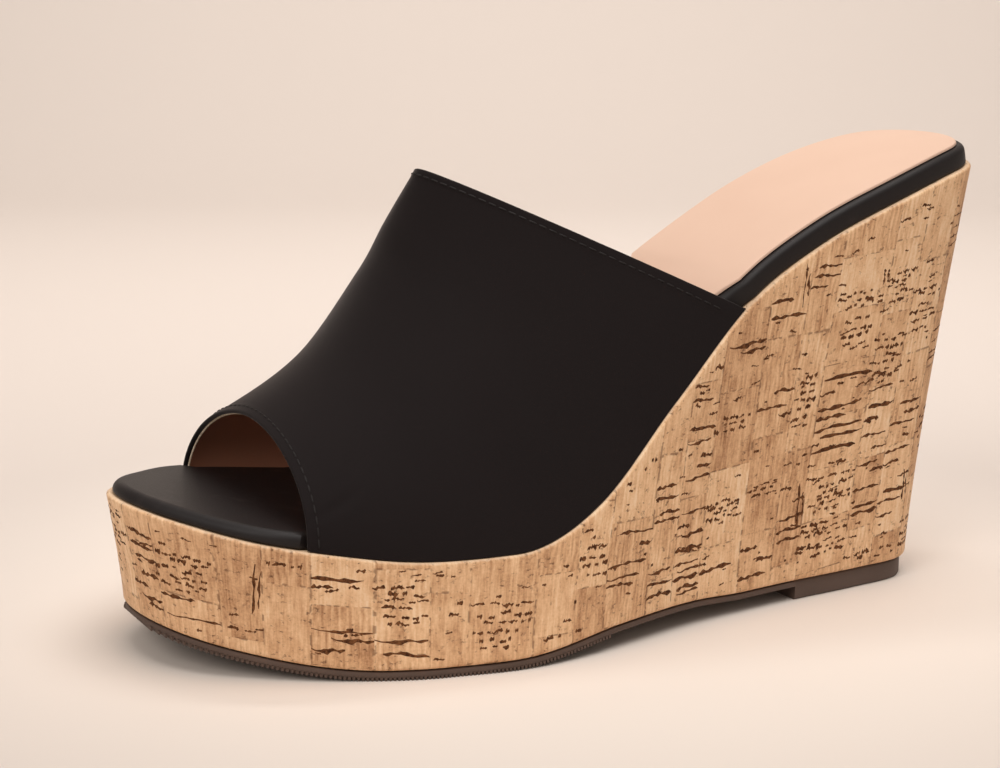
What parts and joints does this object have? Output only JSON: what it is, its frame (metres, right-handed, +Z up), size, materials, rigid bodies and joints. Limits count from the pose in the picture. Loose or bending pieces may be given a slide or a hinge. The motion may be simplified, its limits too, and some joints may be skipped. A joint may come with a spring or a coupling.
{
  "type": "wedge clog",
  "caption": "Backless wedge clog with a cork-wrapped platform wedge, a black footbed, a nude insole and a broad black vamp open at toe and heel.",
  "frame": {"origin": "centre of the shoe's bounding box, on the floor that it stands on", "axes": "+Z up from the floor, -Y towards the toe, +Y towards the heel, +X towards the lateral (outer) side of the left foot"},
  "size_m": [0.0922, 0.228, 0.1165],
  "materials": {
    "cork": "matt sheet cork in patches with dark pores",
    "outsole_rubber": "matt brown rubber",
    "lift_rubber": "matt brown rubber",
    "footbed_cover": "black smooth cover with a low gloss",
    "sock_lining": "smooth nude lining",
    "upper_textile": "fine matt black textile"
  },
  "bodies": {
    "root": {"cork_wedge": "cork", "outsole": "outsole_rubber", "heel_lift": "lift_rubber", "footbed": "footbed_cover", "insole_sock": "sock_lining", "upper": "upper_textile"}
  },
  "joints": []
}
